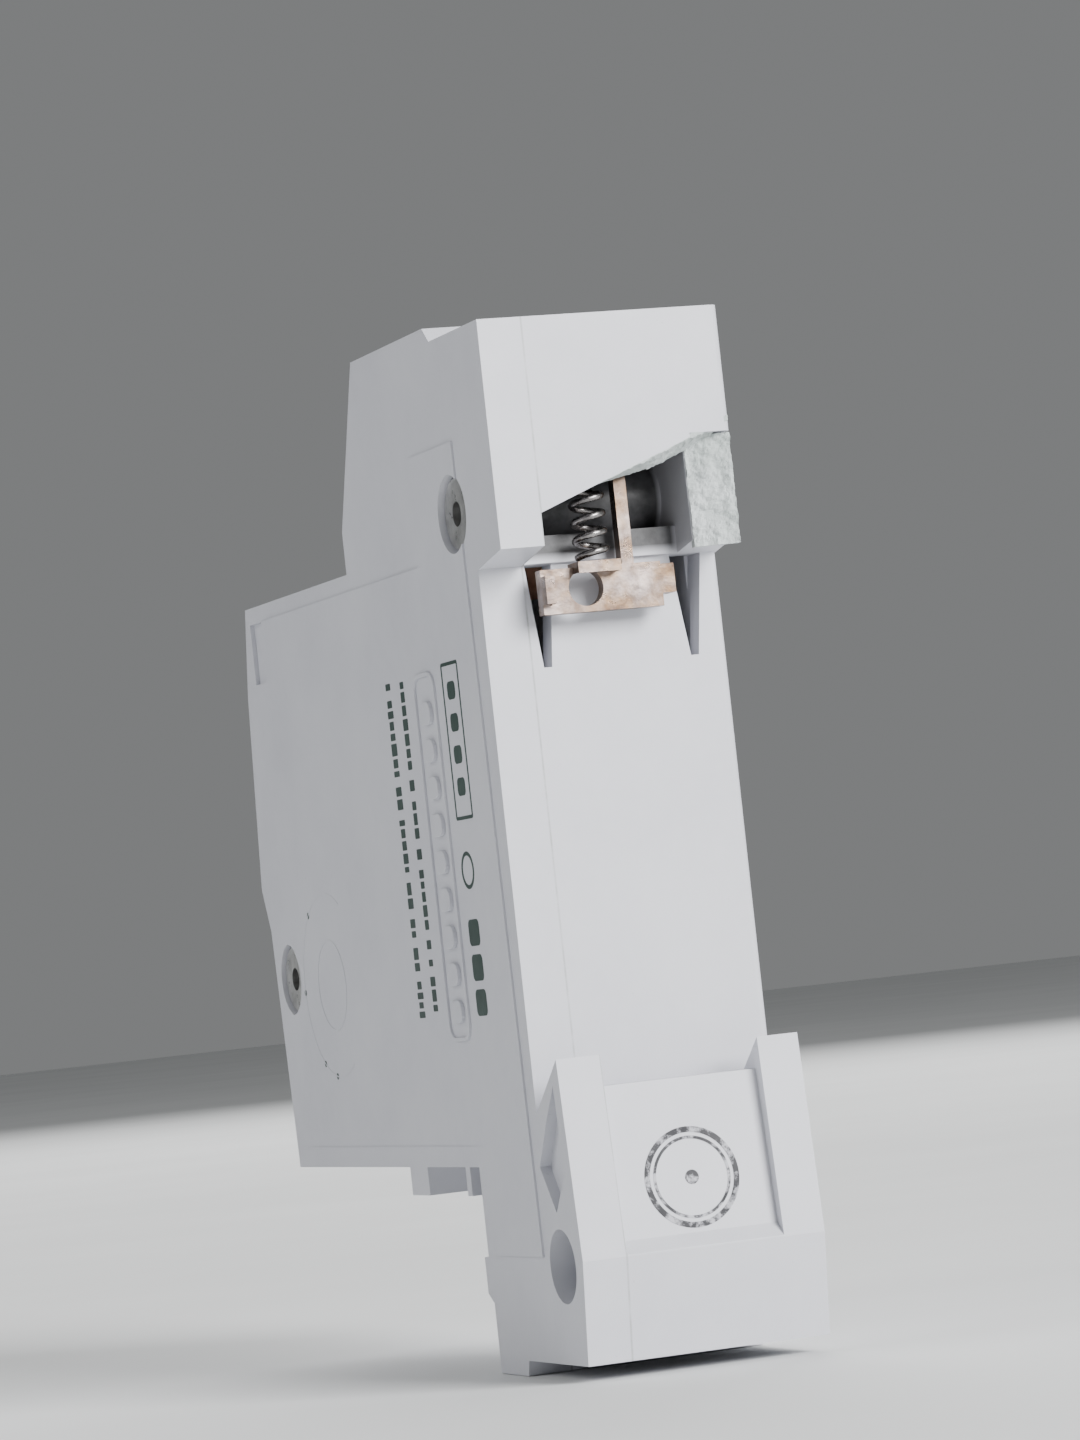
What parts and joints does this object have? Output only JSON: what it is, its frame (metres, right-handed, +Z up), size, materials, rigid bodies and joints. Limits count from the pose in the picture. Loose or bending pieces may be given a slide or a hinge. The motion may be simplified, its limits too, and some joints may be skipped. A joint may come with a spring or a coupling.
{
  "type": "miniature circuit breaker",
  "caption": "One-module rail-mounted miniature circuit breaker with toggle, coil and bimetal trip, arc chute, clamp terminals, sprung rail latch and a broken housing corner.",
  "frame": {"origin": "middle of the rail seat: the centre line of a 35 mm rail, in the plane that the rail's flanges lie on", "axes": "+Z up the tall side towards the sprung latch, +Y towards the rail, -Y towards the toggle, +X towards the side cover"},
  "size_m": [0.0182, 0.0721, 0.0746],
  "materials": {
    "housing": "light grey thermoset, semi-matte",
    "toggle": "black moulded",
    "inner_plastic": "dark moulded",
    "steel": "zinc plated",
    "latch_steel": "tarnished nickel plate",
    "spring_steel": "dark spring steel",
    "copper": "bare copper",
    "silver": "silver contact",
    "bimetal": "rolled strip",
    "fibre": "vulcanised fibre"
  },
  "bodies": {
    "case": {"base_housing": "housing", "side_cover": "housing", "rivet_1": "steel", "rivet_2": "steel", "toggle_pivot_pin": "steel", "contact_pivot_pin": "steel", "trip_lever_pin": "steel", "fixed_contact_tip": "silver", "fixed_contact": "copper", "arc_chute_plates": "steel", "arc_chute_cheek_left": "fibre", "arc_chute_cheek_right": "fibre", "coil_bobbin": "inner_plastic", "trip_coil": "copper", "magnet_yoke": "steel", "pole_piece": "steel", "bimetal_strip": "bimetal", "calibration_screw": "steel", "bimetal_braid": "copper", "lower_terminal_bar": "copper", "upper_terminal_bar": "copper"},
    "toggle": {"toggle_lever": "toggle", "toggle_spring": "spring_steel"},
    "link": {"toggle_link": "steel"},
    "carrier": {"contact_carrier": "inner_plastic", "moving_contact_arm": "copper", "moving_contact_tip": "silver"},
    "trip": {"trip_lever": "inner_plastic"},
    "striker": {"plunger": "steel", "striker_pin": "inner_plastic", "plunger_spring": "spring_steel"},
    "upper_screw": {"upper_terminal_screw": "steel"},
    "upper_cage": {"upper_clamp_cage": "steel"},
    "lower_screw": {"lower_terminal_screw": "steel"},
    "lower_cage": {"lower_clamp_cage": "steel"},
    "latch": {"rail_latch": "latch_steel", "rail_latch_spring": "spring_steel"}
  },
  "joints": [
    {"name": "toggle_hinge", "type": "hinge", "parent": "case", "child": "toggle", "pos_m": [0, -0.0512, 0.0039], "axis": [1, 0, 0], "range_deg": [0, 68]},
    {"name": "link_hinge", "type": "hinge", "parent": "toggle", "child": "link", "pos_m": [0, -0.04941, 0.00655], "axis": [1, 0, 0], "range_deg": [-65, 0]},
    {"name": "contact_hinge", "type": "hinge", "parent": "case", "child": "carrier", "pos_m": [0, -0.04345, -0.0071], "axis": [1, 0, 0], "range_deg": [0, 20.45]},
    {"name": "trip_hinge", "type": "hinge", "parent": "case", "child": "trip", "pos_m": [0, -0.0345, 0.0045], "axis": [1, 0, 0], "range_deg": [0, 16.05]},
    {"name": "striker_slide", "type": "slide", "parent": "case", "child": "striker", "axis": [0, -1, 0], "range_m": [0, 0.002], "stiffness_N_per_m": 80, "springref_m": -0.001},
    {"name": "upper_screw_turn", "type": "hinge", "parent": "case", "child": "upper_screw", "pos_m": [0, -0.0256, 0.0306], "axis": [0, 1, 0], "range_deg": [0, 1261]},
    {"name": "upper_cage_slide", "type": "slide", "parent": "case", "child": "upper_cage", "axis": [0, -1, 0], "range_m": [0, 0.0028]},
    {"name": "lower_screw_turn", "type": "hinge", "parent": "case", "child": "lower_screw", "pos_m": [0, -0.034, -0.0152], "axis": [0, 1, 0], "range_deg": [0, 1261]},
    {"name": "lower_cage_slide", "type": "slide", "parent": "case", "child": "lower_cage", "axis": [0, -1, 0], "range_m": [0, 0.0028]},
    {"name": "latch_slide", "type": "slide", "parent": "case", "child": "latch", "axis": [0, 0, 1], "range_m": [0, 0.003], "stiffness_N_per_m": 900, "springref_m": -0.002, "deforming": ["rail_latch_spring"]}
  ],
  "couplings": [
    {"joint": "link_hinge", "follows": "toggle_hinge", "ratio": -0.94851},
    {"joint": "contact_hinge", "follows": "toggle_hinge", "ratio": 0.3},
    {"joint": "trip_hinge", "follows": "striker_slide", "rad_per_m": 139.15},
    {"joint": "upper_screw_turn", "follows": "upper_cage_slide", "rad_per_m": 7854},
    {"joint": "lower_screw_turn", "follows": "lower_cage_slide", "rad_per_m": 7854}
  ]
}
